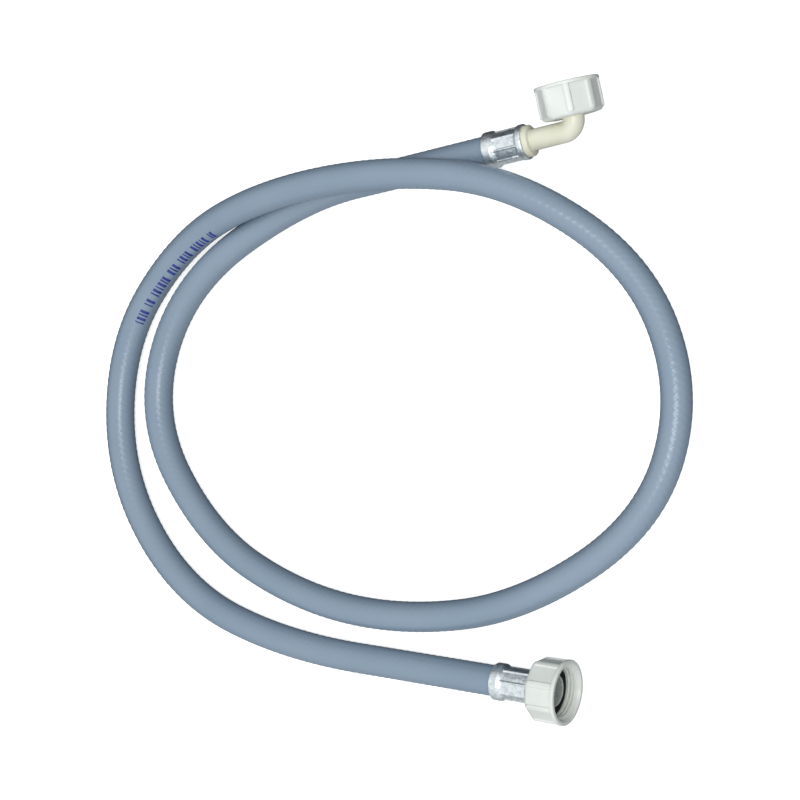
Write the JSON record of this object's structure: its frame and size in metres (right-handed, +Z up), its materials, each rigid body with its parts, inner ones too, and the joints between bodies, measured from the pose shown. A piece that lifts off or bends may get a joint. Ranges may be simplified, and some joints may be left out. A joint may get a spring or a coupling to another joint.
{
  "type": "flexible water supply line",
  "caption": "Braid-reinforced water hose, loosely coiled, with crimped ferrules, a straight and a right-angle tail, and spinning pipe-thread union nuts.",
  "frame": {"origin": "point on the floor under the centre of the box round the two end fittings", "axes": "+Z up from the floor that the line lies on, +Y from the straight end towards the elbow end, +X away from the coil"},
  "size_m": [0.3301, 0.3148, 0.0347],
  "materials": {
    "hose_grey": "satin blue-grey PVC, faint braid relief",
    "liner_rubber": "smooth black rubber",
    "braid_textile": "polyester yarn braid",
    "ferrule_zinc": "bright zinc-plated steel, mottled",
    "tail_ivory": "moulded ivory plastic, semi-gloss",
    "nut_white": "moulded white plastic, semi-gloss",
    "washer_rubber": "black sealing rubber",
    "strainer_rim": "moulded light grey plastic",
    "strainer_grey": "fine grey moulded mesh"
  },
  "bodies": {
    "hose_line": {"hose_liner": "liner_rubber", "hose_braid": "braid_textile", "hose_jacket": "hose_grey", "straight_ferrule": "ferrule_zinc", "straight_tail": "tail_ivory", "straight_washer": "washer_rubber", "strainer_ring": "strainer_rim", "strainer_mesh": "strainer_grey", "elbow_ferrule": "ferrule_zinc", "elbow_tail": "tail_ivory", "elbow_washer": "washer_rubber"},
    "straight_union": {"straight_nut": "nut_white"},
    "elbow_union": {"elbow_nut": "nut_white"}
  },
  "joints": [
    {"name": "straight_nut_spin", "type": "hinge", "parent": "hose_line", "child": "straight_union", "pos_m": [-0.00306, -0.13936, 0.01553], "axis": [0.9891, -0.0659, 0.1319], "continuous": true},
    {"name": "elbow_nut_spin", "type": "hinge", "parent": "hose_line", "child": "elbow_union", "pos_m": [0.01578, 0.13799, 0.01606], "axis": [-0.1652, 0.9724, 0.1646], "continuous": true}
  ]
}
